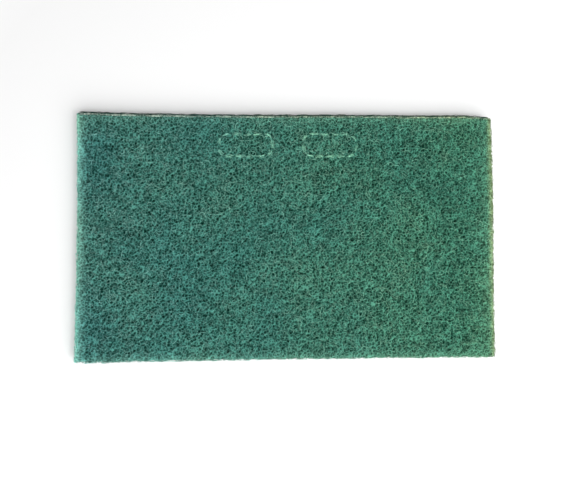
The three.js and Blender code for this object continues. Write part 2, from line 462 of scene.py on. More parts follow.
BODY_WALL_ROWS = 7
BODY_SEED = 11
UNDER_SEED = 47
WALL_SEED = 83
WALL_BULGE = 0.5 * MM
WALL_ROUGHNESS = 0.8 * MM
WALL_ROUGH_LENGTH = 5 * MM
# Depth value of the wall: its middle, and how much less it is where the wall stands out. The
# value darkens the wall towards the deep colour as painted shade, least where it stands out
WALL_DEPTH = (0.35, 0.5)
# Share of a pore's depth that the grooves take away, and the share left at a cut
PORES_LOST_IN_GROOVE = 0.7
PORES_AT_CUT = 0.4
# A plan place this near to the outline, as a share of half the size, faces out of the wall
ON_OUTLINE = 0.98


def grid_places(half, step):
    """Even steps across the pad."""
    count = int(round(2.0 * half / step))
    return np.linspace(-half, half, count + 1)


def body_faces(columns, rows):
    """Faces of the closed body, as top, underside and wall, and the points round the top's edge.

    Points are numbered top first, then the underside, both column by column, and then the
    rings inside the wall from the top down, anticlockwise seen from above.
    """
    index = np.arange(columns * rows).reshape(columns, rows)
    a, b = index[:-1, :-1].ravel(), index[1:, :-1].ravel()
    c, d = index[1:, 1:].ravel(), index[:-1, 1:].ravel()
    top = np.stack([a, b, c, d], axis=1)
    under = np.stack([a, d, c, b], axis=1) + columns * rows
    loop = np.concatenate([index[:-1, 0], index[-1, :-1], index[:0:-1, -1], index[0, :0:-1]])
    count = len(loop)
    first = 2 * columns * rows
    inner = [first + ring * count + np.arange(count) for ring in range(BODY_WALL_ROWS - 1)]
    rings = [loop, *inner, loop + columns * rows]
    walls = [
        np.stack([lower, np.roll(lower, -1), np.roll(upper, -1), upper], axis=1)
        for upper, lower in zip(rings[:-1], rings[1:])
    ]
    return top, under, np.concatenate(walls), loop


def build_body(shape, look):
    """The spongy body: both faces are grids that sink at the pores, joined by a rough wall."""
    half_x, half_y = half_sizes(shape)
    inset = look.body_inset
    xs = grid_places(half_x - inset, look.body_step)
    ys = grid_places(half_y - inset, look.body_step)
    x, y = (part.ravel() for part in np.meshgrid(xs, ys, indexing="ij"))
    faded = np.clip(edge_distance(x, y, shape) / shape.rim_reach, 0.0, 1.0)
    plan_x, plan_y = plan(x, y, shape)
    sheets = []
    depths = []
    for level, inwards, seed in (
        (top_level(x, y, shape) - inset, -1.0, BODY_SEED),
        (under_level(x, y, shape) + inset, 1.0, UNDER_SEED),
    ):
        depth, _, _ = pores(x, y, look, seed)
        groove = oval_share(x, y, shape) if inwards < 0.0 else 0.0 * x
        depth = depth * (1.0 - PORES_LOST_IN_GROOVE * groove)
        depth = depth * (PORES_AT_CUT + (1.0 - PORES_AT_CUT) * faded)
        sunk = look.pore_depth * depth + GROOVE_DEPTH * groove
        sheets.append(np.stack([plan_x, plan_y, level + inwards * sunk], axis=1))
        depths.append(depth)
    top, under, wall, loop = body_faces(len(xs), len(ys))
    upper = sheets[0][loop]
    lower = sheets[1][loop]
    outwards = np.stack([x[loop] / half_x, y[loop] / half_y, 0.0 * x[loop]], axis=1)
    outwards = np.sign(outwards) * (np.abs(outwards) > ON_OUTLINE)
    around = np.arange(len(loop)) * look.body_step
    rings = []
    for ring in range(1, BODY_WALL_ROWS):
        share = ring / BODY_WALL_ROWS
        height = share * PAD_HIGH[2]
        rough = smooth_noise(around, height + 0.0 * around, WALL_ROUGH_LENGTH, WALL_SEED)
        bulge = WALL_BULGE * np.sin(np.pi * share) + WALL_ROUGHNESS * rough
        rings.append(upper * (1.0 - share) + lower * share + outwards * bulge[:, None])
        depths.append(np.clip(WALL_DEPTH[0] - WALL_DEPTH[1] * rough, 0.0, 1.0))
    points = np.concatenate(sheets + rings)
    faces = np.concatenate([top, under, wall])
    obj = add_mesh("web_body", points, faces)
    # The depth value darkens the body in its pores and on its wall as painted shade
    add_values(obj, "depth", np.concatenate(depths))
    add_values(obj, "rim", rim_share(points, shape))
    add_uv(obj, body_uv(points, faces, len(top), len(wall), len(loop)))
    return obj


UV_MARGIN = 0.01
UV_FACE_HEIGHT = 0.44
UV_TOP_SHIFT = 0.54
UV_WALL_START = 0.46
UV_WALL_HEIGHT = 0.08


def body_uv(points, faces, top_count, wall_count, loop_count):
    """Flat layout: the top above the underside, and the wall's rings in a band between them."""
    width = 1.0 - 2.0 * UV_MARGIN
    places = np.clip((points - PAD_LOW) / (PAD_HIGH - PAD_LOW), 0.0, 1.0)
    uv = UV_MARGIN + places[faces][..., :2] * (width, UV_FACE_HEIGHT)
    uv[:top_count, :, 1] += UV_TOP_SHIFT
    rows = wall_count // loop_count
    column = np.tile(np.arange(loop_count), rows)
    row = np.repeat(np.arange(rows), loop_count)
    left = UV_MARGIN + width * column / loop_count
    right = UV_MARGIN + width * (column + 1) / loop_count
    low = UV_WALL_START + UV_WALL_HEIGHT * row / rows
    high = UV_WALL_START + UV_WALL_HEIGHT * (row + 1) / rows
    u = np.stack([left, right, right, left], axis=1)
    v = np.stack([high, high, low, low], axis=1)
    uv[2 * top_count:] = np.stack([u, v], axis=2)
    return uv


CURL_TURN = 0.75
# How much of its own bend and of the one before it a piece of a strand takes
CURL_BLEND = (0.6, 0.4)
# How much a whole strand bends one way, as a share of the turn
CURL_LEAN = 0.35
STEP_SPREAD = (0.85, 1.15)


def curly_paths(rng, start_x, start_y, look):
    """Curly paths in the plane: the heading drifts by a smooth random turn at every step."""
    count = len(start_x)
    bend = rng.normal(0.0, CURL_TURN, (count, look.strand_pieces))
    smooth = bend.copy()
    smooth[:, 1:] = CURL_BLEND[0] * bend[:, 1:] + CURL_BLEND[1] * bend[:, :-1]
    lean = rng.normal(0.0, CURL_LEAN * CURL_TURN, (count, 1))
    heading = rng.uniform(0.0, 2.0 * np.pi, (count, 1)) + np.cumsum(smooth + lean, axis=1)
    step = look.strand_step * rng.uniform(*STEP_SPREAD, (count, 1))
    x = np.cumsum(step * np.cos(heading), axis=1)
    y = np.cumsum(step * np.sin(heading), axis=1)
    x = np.concatenate([np.zeros((count, 1)), x], axis=1)
    y = np.concatenate([np.zeros((count, 1)), y], axis=1)
    x += start_x[:, None] - x.mean(axis=1, keepdims=True)
    y += start_y[:, None] - y.mean(axis=1, keepdims=True)
    return x, y


def folded(values, low, high):
    """Values outside a range turned back into it, as a strand turns back at a cut."""
    span = high - low
    return low + span - np.abs(np.mod(values - low, 2.0 * span) - span)


RING_SIDES = 3
# Radius of a strand at its two ends, as a share of its radius
END_TAPER = 0.35
# Keeps a division by a length finite
TINY = 1e-12


def tubes(points, normals, radii):
    """Closed three-sided tubes along many paths at once.

    Each path's point gets a ring of three corners round it, in the plane across the path: the
    first corner lies towards the given normal. The ring is smaller at both ends of the path.
    Returns the corners and the faces, with one flat face at each end.
    """
    count, stations, _ = points.shape
    tangent = np.gradient(points, axis=1)
    tangent /= np.linalg.norm(tangent, axis=2, keepdims=True) + TINY
    side = np.cross(tangent, normals)
    side /= np.linalg.norm(side, axis=2, keepdims=True) + TINY
    up = np.cross(side, tangent)
    taper = np.ones(stations)
    taper[[0, -1]] = END_TAPER
    reach = radii[:, None, None] * taper[None, :, None]
    rings = []
    for corner in range(RING_SIDES):
        angle = 0.5 * np.pi + 2.0 * np.pi * corner / RING_SIDES
        rings.append(points + reach * (math.cos(angle) * side + math.sin(angle) * up))
    corners = np.stack(rings, axis=2).reshape(-1, 3)
    first = (np.arange(count) * stations * RING_SIDES)[:, None, None]
    station = (np.arange(stations - 1) * RING_SIDES)[None, :, None]
    now = np.arange(RING_SIDES)[None, None, :]
    then = (now + 1) % RING_SIDES
    a = (first + station + now).ravel()
    b = (first + station + then).ravel()
    c = b + RING_SIDES
    d = a + RING_SIDES
    walls = np.concatenate([np.stack([a, b, c], axis=1), np.stack([a, c, d], axis=1)])
    start = first.ravel()[:, None] + np.array([[0, 2, 1]])
    last = first.ravel()[:, None] + (stations - 1) * RING_SIDES + np.array([[0, 1, 2]])
    return corners, np.concatenate([walls, start, last])


TILE_MARGIN = 0.1


def tube_uv(count, stations, faces):
    """Flat layout of many tubes: each has its own tile, with its length across the tile."""
    tiles = int(math.ceil(math.sqrt(count)))
    corner = faces % RING_SIDES
    station = (faces // RING_SIDES) % stations
    strand = faces // (RING_SIDES * stations)
    wrap = (corner == 0) & (corner.max(axis=1, keepdims=True) == RING_SIDES - 1)
    around = np.where(wrap, RING_SIDES, corner)
    inner = 1.0 - 2.0 * TILE_MARGIN
    u = (strand % tiles + TILE_MARGIN + inner * station / (stations - 1)) / tiles
    v = (strand // tiles + TILE_MARGIN + inner * around / RING_SIDES) / tiles
    return np.stack([u, v], axis=2)


TONE_MOST = 1.05
RADIUS_SPREAD = (0.75, 1.2)


def finish_strands(name, points, radii, tone, rim, normals=None):
    """Turns paths into one piece of tubes, with the tone and rim values of the paths' points."""
    count, stations, _ = points.shape
    corners, faces = tubes(points, upright(points) if normals is None else normals, radii)
    obj = add_mesh(name, corners, faces)
    add_values(obj, "tone", np.repeat(np.clip(tone, 0.0, TONE_MOST).ravel(), RING_SIDES))
    add_values(obj, "rim", np.repeat(np.clip(rim, 0.0, 1.0).ravel(), RING_SIDES))
    add_uv(obj, tube_uv(count, stations, faces))
    return obj


def upright(points, up=1.0):
    """Normals straight up, or down, for every point of some paths."""
    normals = np.zeros_like(points)
    normals[..., 2] = up
    return normals


def strand_radii(rng, look, count):
    """A random radius for each strand."""
    return look.strand_radius * rng.uniform(*RADIUS_SPREAD, count)


def placed(x, y, level, shape):
    """Paths through places of the true rectangle, carried to the pad as cut."""
    return np.stack([*plan(x, y, shape), level], axis=2)


# The back wall lies in the pad's own shadow in the photo: its tones are scaled by this
BACK_SHADE = 0.15
BACK_SHADE_WIDTH = 1.5 * MM


def finish_shaded(name, points, radii, tone, at_back, shape, normals=None):
    """Finishes strands whose rims are pale and which are dark where they are at the back."""
    shade = np.where(at_back, BACK_SHADE, 1.0)
    rim = rim_share(points, shape) * shade
    return finish_strands(name, points, radii, tone * shade, rim, normals)


# How far a face's strands keep inside the outline, in strand radii
EDGE_KEPT = (0.5, 4.0)
WAVE_HEIGHT = 0.5 * MM
WAVE_TURN = (0.5, 1.1)
SINK_IN_PORES = 0.9 * MM
# Tone of a face's strands: the draw, what is added, and what is lost in depth and in pores. What
# is lost is painted shade
FACE_TONE_DRAW = (3.4, 3.6)
FACE_TONE_LIFT = 0.38
FACE_TONE_LOSS_PER_MM = 0.27
FACE_TONE_LOSS_IN_PORES = 0.2
FACE_TONE_SPREAD = 0.25
# Share of the strands that are almost bare of resin, and how much paler they are
BARE_SHARE = 0.15
BARE_GAIN = 0.35


def face_strands(name, count, seed, layer, shape, look, upper=True):
    """Curly strands that lie in one face of the web, between its pores.

    `layer` gives the least and the most depth below the face. A strand waves up and down a
    little, and sinks where it crosses a pore.
    """
    rng = np.random.default_rng(seed)
    half_x, half_y = half_sizes(shape)
    start_x = rng.uniform(-half_x, half_x, count)
    start_y = rng.uniform(-half_y, half_y, count)
    x, y = curly_paths(rng, start_x, start_y, look)
    edge = look.strand_radius * rng.uniform(*EDGE_KEPT, (count, 1))
    x = folded(x, -half_x + edge, half_x - edge)
    y = folded(y, -half_y + edge, half_y - edge)
    depth, push_x, push_y = pores(x, y, look, BODY_SEED if upper else UNDER_SEED)
    x = np.clip(x + push_x, -half_x + edge, half_x - edge)
    y = np.clip(y + push_y, -half_y + edge, half_y - edge)
    below = rng.uniform(*layer, (count, 1))
    turn = np.arange(x.shape[1])[None, :] * rng.uniform(*WAVE_TURN, (count, 1))
    wave = WAVE_HEIGHT * np.sin(turn + rng.uniform(0.0, 2.0 * np.pi, (count, 1)))
    below = np.clip(below + wave + SINK_IN_PORES * depth, look.strand_radius, None)
    level = top_level(x, y, shape) - below if upper else under_level(x, y, shape) + below
    points = placed(x, y, level, shape)
    radii = strand_radii(rng, look, count)
    tone = rng.beta(*FACE_TONE_DRAW, (count, 1)) + FACE_TONE_LIFT
    # Strands lying deeper or over a pore are darker: painted shade
    tone = tone - FACE_TONE_LOSS_PER_MM * below / MM - FACE_TONE_LOSS_IN_PORES * depth
    tone += rng.uniform(-FACE_TONE_SPREAD, FACE_TONE_SPREAD, x.shape)
    tone += BARE_GAIN * (rng.random((count, 1)) < BARE_SHARE)
    at_back = half_y - y < BACK_SHADE_WIDTH
    normals = upright(points, 1.0 if upper else -1.0)
    return finish_shaded(name, points, radii, tone, at_back, shape, normals)


def outline_places(run, half_x, half_y):
    """Places on the straight outline, and the way out of it, at lengths along it."""
    first = 2.0 * half_x
    second = first + 2.0 * half_y
    third = second + 2.0 * half_x
    front = run < first
    right = (run >= first) & (run < second)
    back = (run >= second) & (run < third)
    sides = [front, right, back]
    x = np.select(sides, [run - half_x, half_x, half_x - (run - second)], -half_x)
    y = np.select(sides, [-half_y, run - first - half_y, half_y], half_y - (run - third))
    out_x = np.select(sides, [0.0, 1.0, 0.0], -1.0)
    out_y = np.select(sides, [-1.0, 0.0, 1.0], 0.0)
    return x, y, out_x, out_y


# Range of a wall strand's height, as a share of the wall
WALL_HEIGHTS = (0.03, 0.97)
WALL_BELOW = (-0.6 * MM, 1.8 * MM)
WALL_RIPPLE = 0.4 * MM
WALL_RIPPLE_LENGTH = 4 * MM
# At the back the wall flares outwards at its foot
BACK_LEAST_BELOW = 0.3 * MM
BACK_FLARE = 1.3 * MM
WALL_TONE_DRAW = (1.2, 1.2)
# Wall strands lying further inside the outline lose tone: painted shade
WALL_TONE_LOSS_PER_MM = 0.2


def wall_strands(name, count, seed, shape, look):
    """Strands cut short in the wall all round the pad, laid along the outline."""
    rng = np.random.default_rng(seed)
    half_x, half_y = half_sizes(shape)
    around = 4.0 * (half_x + half_y)
    start = rng.uniform(0.0, around, count)
    height = rng.uniform(0.0, 1.0, count)
    run, rise = curly_paths(rng, start, height * PAD_HIGH[2], look)
    run = np.mod(run, around)
    x, y, out_x, out_y = outline_places(run, half_x, half_y)
    low = under_level(x, y, shape)
    high = top_level(x, y, shape)
    share = folded(rise / PAD_HIGH[2], *WALL_HEIGHTS)
    level = low + (high - low) * share
    at_back = out_y > 0.5
    below = rng.uniform(*WALL_BELOW, (count, 1)) + WALL_RIPPLE * np.sin(run / WALL_RIPPLE_LENGTH)
    foot = np.clip(below, BACK_LEAST_BELOW, None) - BACK_FLARE * np.sqrt(1.0 - share)
    below = np.where(at_back, foot, below)
    plan_x, plan_y = plan(x, y, shape)
    points = np.stack([plan_x - out_x * below, plan_y - out_y * below, level], axis=2)
    normals = np.stack([out_x, out_y, 0.0 * out_x], axis=2)
    radii = strand_radii(rng, look, count)
    # The tone falls the further a strand lies inside the outline: painted shade
    tone = rng.beta(*WALL_TONE_DRAW, (count, 1)) - WALL_TONE_LOSS_PER_MM * below / MM
    return finish_shaded(name, points, radii, tone, at_back, shape, normals)


CUT_STATIONS = 4
CUT_LENGTH = 3.5 * MM
CUT_PROUD = (-0.4 * MM, 0.9 * MM)
CUT_SLANT = 0.8
CUT_STRAY = 0.3 * MM
CUT_HEIGHT_DRAW = (1.2, 0.8)
CUT_HEIGHT_STRAY = 0.04


def cut_ends(name, count, seed, shape, look):
    """Short ends of strands that stand out of the wall, where the die cut them.

    Each runs outwards through the wall at a slant, and stops at its own height above it.
    """
    rng = np.random.default_rng(seed)
    half_x, half_y = half_sizes(shape)
    run = rng.uniform(0.0, 4.0 * (half_x + half_y), (count, 1))
    x, y, out_x, out_y = outline_places(run, half_x, half_y)
    to_go = np.linspace(1.0, 0.0, CUT_STATIONS)[None, :] * CUT_LENGTH
    below = to_go - rng.uniform(*CUT_PROUD, (count, 1))
    slant = to_go * rng.normal(0.0, CUT_SLANT, (count, 1))
    slant = slant + rng.normal(0.0, CUT_STRAY, slant.shape)
    x = x - out_x * below - out_y * slant
    y = y - out_y * below + out_x * slant
    x = np.clip(x, -half_x - CUT_PROUD[1], half_x + CUT_PROUD[1])
    y = np.clip(y, -half_y - CUT_PROUD[1], half_y + CUT_PROUD[1])
    low = under_level(x, y, shape) + look.strand_radius
    high = top_level(x, y, shape) - look.strand_radius
    share = rng.beta(*CUT_HEIGHT_DRAW, (count, 1)) + rng.normal(0.0, CUT_HEIGHT_STRAY, x.shape)
    level = low + (high - low) * np.clip(share, 0.0, 1.0)
    points = placed(x, y, level, shape)
    radii = strand_radii(rng, look, count)
    tone = rng.beta(*WALL_TONE_DRAW, (count, 1)) + 0.0 * x
    return finish_shaded(name, points, radii, tone, out_y > 0.5, shape)


BACK_STATIONS = 4
BACK_RUN = (6.0 * MM, 18.0 * MM)
BACK_STRAY = 0.25 * MM
# Range of the tone from strand to strand, and how much it changes along one
BACK_UNEVEN = (0.1, 1.0)
BACK_UNEVEN_ALONG = 0.2
BACK_TONE = 1.2


def back_strands(name, count, seed, inset, drop, shape, look):
    """Strands that run along the back edge, as the die laid them.

    `inset` and `drop` give how far they lie inside the cut and below the face.
    """
    rng = np.random.default_rng(seed)
    half_x, half_y = half_sizes(shape)
    reach = half_x - shape.corner
    middle = rng.uniform(-reach, reach, (count, 1))
    along = np.linspace(-0.5, 0.5, BACK_STATIONS)[None, :] * rng.uniform(*BACK_RUN, (count, 1))
    x = np.clip(middle + along, -reach, reach)
    inside = rng.uniform(*inset, (count, 1))
    inside = inside + np.cumsum(rng.normal(0.0, BACK_STRAY, x.shape), axis=1)
    y = half_y - np.clip(inside, *inset)
    level = top_level(x, y, shape) - rng.uniform(*drop, (count, 1))
    points = placed(x, y, level, shape)
    radii = strand_radii(rng, look, count)
    uneven = rng.uniform(*BACK_UNEVEN, (count, 1))
    uneven = uneven + rng.uniform(-BACK_UNEVEN_ALONG, BACK_UNEVEN_ALONG, x.shape)
    return finish_strands(name, points, radii, BACK_TONE * uneven, 0.0 * uneven)


OVAL_SEED = 61
STROKE_STRANDS = 7
# How strongly each cut shows, anticlockwise from the start of the front side, for both ovals
STROKE_STRENGTHS = (
    (0.9, 0.5, 0.7, 0.9, 0.9, 0.9, 0.9, 0.5, 0.65, 0.65, 0.8, 0.7, 0.9),
    (0.8, 0.7, 0.6, 0.9, 0.7, 0.65, 0.6, 0.5, 0.8, 0.8, 0.9, 0.9, 0.85),
)
STROKE_PHASES = (6 * MM, 0.0)
STROKE_STRAY_ALONG = 1.2 * MM
STROKE_STRAY_ACROSS = 0.6 * MM
STROKE_STRAY_STEP = 0.4 * MM
STROKE_REACH = (0.5, 0.95)
STROKE_BELOW = (0.4 * MM, 1.6 * MM)
STROKE_RADII = (0.9, 1.3)
# Tone of a cut's strands at no strength, and what full strength adds to tone and rim
STROKE_TONE = 0.6
STROKE_TONE_GAIN = 0.6
STROKE_RIM_GAIN = 0.55


def oval_strands(name, shape, look):
    """The pale strands crushed into the groove of each cut of the two ovals."""
    rng = np.random.default_rng(OVAL_SEED)
    strokes = stroke_count(shape)
    pitch = oval_length_round(shape) / strokes
    share = np.linspace(-1.0, 1.0, look.strand_pieces + 1)
    paths = []
    shown = []
    for middle, strengths, phase in zip(oval_middles(shape), STROKE_STRENGTHS, STROKE_PHASES):
        strength = np.resize(strengths, strokes)
        strands = np.round(STROKE_STRANDS * strength).astype(int)
        strength = np.repeat(strength, strands)[:, None]
        centre = np.repeat((np.arange(strokes) + 0.5) * pitch + phase, strands)[:, None]
        centre = centre + rng.normal(0.0, STROKE_STRAY_ALONG, centre.shape)
        reach = 0.5 * shape.stroke * rng.uniform(*STROKE_REACH, centre.shape)
        x, y, along_x, along_y = oval_points(centre + reach * share[None, :], middle, shape)
        drift = rng.normal(0.0, STROKE_STRAY_ACROSS, centre.shape)
        drift = drift + np.cumsum(rng.normal(0.0, STROKE_STRAY_STEP, x.shape), axis=1)
        level = PAD_HIGH[2] - rng.uniform(*STROKE_BELOW, x.shape)
        paths.append(placed(x + along_y * drift, y - along_x * drift, level, shape))
        shown.append(strength + 0.0 * x)
    points = np.concatenate(paths)
    shown = np.concatenate(shown)
    radii = look.strand_radius * rng.uniform(*STROKE_RADII, len(points))
    tone = STROKE_TONE + STROKE_TONE_GAIN * shown
    return finish_strands(name, points, radii, tone, STROKE_RIM_GAIN * shown)


def new_group(name, takes, gives):
    """A new node group, with the nodes for what it takes and gives, by name and kind."""
    group = bpy.data.node_groups.new(name, "ShaderNodeTree")
    for in_out, sockets in (("INPUT", takes), ("OUTPUT", gives)):
        for socket, kind in sockets.items():
            group.interface.new_socket(name=socket, in_out=in_out, socket_type=kind)
    return group, group.nodes.new("NodeGroupInput"), group.nodes.new("NodeGroupOutput")


def feed(tree, node, inputs):
    """Feeds a node's inputs, by name or number, from sockets or with plain values."""
    for name, value in inputs.items():
        if isinstance(value, bpy.types.NodeSocket):
            tree.links.new(value, node.inputs[name])
        else:
            node.inputs[name].default_value = value


def add_node(tree, kind, inputs, **settings):
    """A new node with its settings and inputs."""
    node = tree.nodes.new("ShaderNode" + kind)
    for name, value in settings.items():
        setattr(node, name, value)
    feed(tree, node, inputs)
    return node


def maths(tree, operation, *values, clamp=False):
    """One step of arithmetic on sockets and plain numbers."""
    inputs = dict(enumerate(values))
    return add_node(tree, "Math", inputs, operation=operation, use_clamp=clamp).outputs[0]


def ranged(tree, value, source, target, smooth=False):
    """A value carried from one range to another, and held at its ends."""
    names = ("Value", "From Min", "From Max", "To Min", "To Max")
    inputs = dict(zip(names, (value, *source, *target)))
    kind = "SMOOTHSTEP" if smooth else "LINEAR"
    return add_node(tree, "MapRange", inputs, interpolation_type=kind).outputs["Result"]


def mixed(tree, first, second, factor=None):
    """A mix of two colours, each a socket or plain numbers, or their product without a factor."""
    inputs = {"Factor": 1.0 if factor is None else factor}
    for name, part in (("A", first), ("B", second)):
        inputs[name] = part if isinstance(part, bpy.types.NodeSocket) else (*part, 1.0)
    blend = "MULTIPLY" if factor is None else "MIX"
    mix = add_node(tree, "Mix", inputs, data_type="RGBA", blend_type=blend)
    return mix.outputs["Result"]


def object_place(tree):
    """Places in the object's own coordinates."""
    return tree.nodes.new("ShaderNodeTexCoord").outputs["Object"]


def noise(tree, place, scale, detail, distortion=0.0):
    """A noise texture over some places."""
    inputs = {"Vector": place, "Scale": scale, "Detail": detail, "Distortion": distortion}
    return add_node(tree, "TexNoise", inputs)


# Hue at the two ends of the pad, and of two kinds of stain, as factors on the colour
LEFT_HUE = (1.0, 1.0, 1.10)
RIGHT_HUE = (0.97, 1.02, 0.82)
BLUE_STAIN = (0.95, 1.0, 1.03)
GREY_STAIN = (1.08, 0.99, 0.95)
STAIN_SCALE = 9.0
STAIN_DETAIL = 2.0
STAIN_NOISE = (0.35, 0.65)
PATCH_SCALE = 9.0
PATCH_DETAIL = 1.0
PATCH_NOISE = (0.3, 0.7)
PATCH_RANGE = (0.94, 1.06)
RIM_STRENGTH = 0.95
MARGIN_WIDTH = 12 * MM
MARGIN_HEIGHT = 20 * MM
MARGIN_AT_FOOT = 0.05
# The yellow margin is darker in the net's openings: painted shade
MARGIN_SHADE = (0.5, 1.15)


def web_tone_group(shape, look):
    """Node group that turns the web's plain colour into that of its place on the pad.

    Wide patches are darker or paler and the rims are paler, partly by painted light. The hue
    drifts from blue-green at the left to green at the right, with bluer and greyer stains, and
    the thin margin at the right end is yellow, less so down the wall; in the openings between its
    fibres it is darker, as painted shade.
    """
    takes = {"Colour": "NodeSocketColor", "Rim": "NodeSocketFloat", "Fibre": "NodeSocketFloat"}
    group, start, end = new_group("Web tone", takes, {"Colour": "NodeSocketColor"})
    place = object_place(group)
    split = add_node(group, "SeparateXYZ", {0: place})
    half_x, _ = half_sizes(shape)

    patches = noise(group, place, PATCH_SCALE, PATCH_DETAIL).outputs["Fac"]
    patches = ranged(group, patches, PATCH_NOISE, PATCH_RANGE)
    tone = mixed(group, start.outputs["Colour"], patches)
    rim = maths(group, "MULTIPLY", start.outputs["Rim"], RIM_STRENGTH)
    tone = mixed(group, tone, look.rim_colour, rim)

    drift = ranged(group, split.outputs["X"], (-half_x, half_x), (0.0, 1.0))
    tone = mixed(group, tone, mixed(group, LEFT_HUE, RIGHT_HUE, drift))
    stains = noise(group, place, STAIN_SCALE, STAIN_DETAIL).outputs["Fac"]
    stains = ranged(group, stains, STAIN_NOISE, (0.0, 1.0))
    tone = mixed(group, tone, mixed(group, BLUE_STAIN, GREY_STAIN, stains))

    across = (half_x - MARGIN_WIDTH, half_x)
    margin = ranged(group, split.outputs["X"], across, (0.0, 1.0), smooth=True)
    height = ranged(group, split.outputs["Z"], (0.0, MARGIN_HEIGHT), (MARGIN_AT_FOOT, 1.0))
    shade = ranged(group, start.outputs["Fibre"], (0.0, 1.0), MARGIN_SHADE)
    yellow = mixed(group, look.end_colour, shade)
    tone = mixed(group, tone, yellow, maths(group, "MULTIPLY", margin, height))
    feed(group, end, {"Colour": tone})
    return group


GRAIN_SCALE = 800.0
GRAIN_DETAIL = 4.0
GRAIN_DISTORTION = 1.5


def grain_group():
    """Node group for the fine fibres inside a strand or the body: a height round zero."""
    group, _, end = new_group("Fibre grain", {}, {"Height": "NodeSocketFloat"})
    grain = noise(group, object_place(group), GRAIN_SCALE, GRAIN_DETAIL, GRAIN_DISTORTION)
    feed(group, end, {"Height": maths(group, "SUBTRACT", grain.outputs["Fac"], 0.5)})
    return group


NET_STIR = 2.4 * MM
NET_STIR_SCALE = 260.0
NET_STIR_DETAIL = 1.0
# Heights count this much, so that the net's cells are taller than they are wide
NET_HEIGHT_SHARE = 0.4
# Cells in a metre, and the half width of their borders in the texture's own measure
NETS = ((236.0, 0.17), (540.0, 0.20))
FINE_NET_SHARE = 0.35


def net_group():
    """Node group for the finest fibres: 1 on them and 0 in the openings between them.

    Each of two nets is the borders of random cells, first stirred by noise so that they curl.
    """
    group, _, end = new_group("Fibre net", {}, {"Net": "NodeSocketFloat"})
    squeeze = {0: object_place(group), 1: (1.0, 1.0, NET_HEIGHT_SHARE)}
    squeezed = add_node(group, "VectorMath", squeeze, operation="MULTIPLY").outputs[0]
    stirring = noise(group, squeezed, NET_STIR_SCALE, NET_STIR_DETAIL).outputs["Color"]
    stir = {0: stirring, 1: (NET_STIR, NET_STIR, NET_STIR), 2: squeezed}
    stirred = add_node(group, "VectorMath", stir, operation="MULTIPLY_ADD").outputs[0]
    nets = []
    for scale, half_width in NETS:
        inputs = {"Vector": stirred, "Scale": scale}
        cells = add_node(group, "TexVoronoi", inputs, feature="DISTANCE_TO_EDGE")
        distance = cells.outputs["Distance"]
        nets.append(ranged(group, distance, (0.0, half_width), (1.0, 0.0), smooth=True))
    both = maths(group, "MULTIPLY_ADD", nets[1], FINE_NET_SHARE, nets[0], clamp=True)
    feed(group, end, {"Net": both})
    return group


SPECKLE = 1.5
SHINE = 0.06
# Roughness in the openings of the net and on its fibres
ROUGHNESS = (0.95, 0.7)
# How strongly a rim's paleness shows in the openings of the net and on its fibres
RIM_ON_NET = (0.45, 1.15)
BUMP_STRENGTH = 0.35
BUMP_HEIGHT = 0.3 * MM


def web_material(name, groups, value_name, low_colour, high_colour, opening):
    """Matt resin: a ramp over one value of the piece, toned by its place, with fine fibres.

    The value changes by `opening` in the openings of the net of fine fibres, which darkens them
    as painted shade.
    """
    tone_group, grain, net = groups
    material = bpy.data.materials.new(name)
    material.use_nodes = True
    tree = material.node_tree
    height = add_node(tree, "Group", {}, node_tree=grain).outputs["Height"]
    fibre = add_node(tree, "Group", {}, node_tree=net).outputs["Net"]
    value = add_node(tree, "Attribute", {}, attribute_name=value_name).outputs["Fac"]
    rim = add_node(tree, "Attribute", {}, attribute_name="rim").outputs["Fac"]
    level = maths(tree, "MULTIPLY_ADD", height, SPECKLE, value)
    gap = maths(tree, "SUBTRACT", 1.0, fibre)
    level = maths(tree, "MULTIPLY_ADD", gap, opening, level, clamp=True)
    ramp = add_node(tree, "ValToRGB", {"Fac": level})
    for stop, stop_colour in zip(ramp.color_ramp.elements, (low_colour, high_colour)):
        stop.color = (*stop_colour, 1.0)
    rim = maths(tree, "MULTIPLY", rim, ranged(tree, fibre, (0.0, 1.0), RIM_ON_NET))
    here = {"Colour": ramp.outputs["Color"], "Rim": rim, "Fibre": fibre}
    toned = add_node(tree, "Group", {}, node_tree=tone_group)
    feed(tree, toned, here)
    relief = {"Strength": BUMP_STRENGTH, "Distance": BUMP_HEIGHT, "Height": height}
    feed(tree, tree.nodes["Principled BSDF"], {
        "Base Color": toned.outputs["Colour"],
        "Roughness": ranged(tree, fibre, (0.0, 1.0), ROUGHNESS),
        "Specular IOR Level": SHINE,
        "Normal": add_node(tree, "Bump", relief).outputs["Normal"],
    })
    return material


def web_groups(shape, look):
    """The three shared node groups, built once."""
    tone = bpy.data.node_groups.get("Web tone") or web_tone_group(shape, look)
    grain = bpy.data.node_groups.get("Fibre grain") or grain_group()
    net = bpy.data.node_groups.get("Fibre net") or net_group()
    return tone, grain, net


def place_piece(obj, material):
    """Gives a piece its material and lets it ride on the pad."""
    obj.data.materials.append(material)
    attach(obj, "root")


# How much deeper a body's value is, and how much lower a strand's, in the net's openings. Both
# darken the openings between the fine fibres as painted shade
BODY_OPENING = 0.75
STRAND_OPENING = -0.53


class SCRUBPAD_OT_body(bpy.types.Operator):
    """Build the spongy body of the web"""

    bl_idname = "scrubpad.body"
    bl_label = "Web body"

    def execute(self, context):
        shape = context.scene.pad_shape
        look = context.scene.web_look
        groups = web_groups(shape, look)
        material = web_material(
            "Bonded web", groups, "depth", look.body_colour, look.deep_colour, BODY_OPENING
        )
        body = build_body(shape, look)
        place_piece(body, material)
        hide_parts(PAD_NODE)
        return {"FINISHED"}


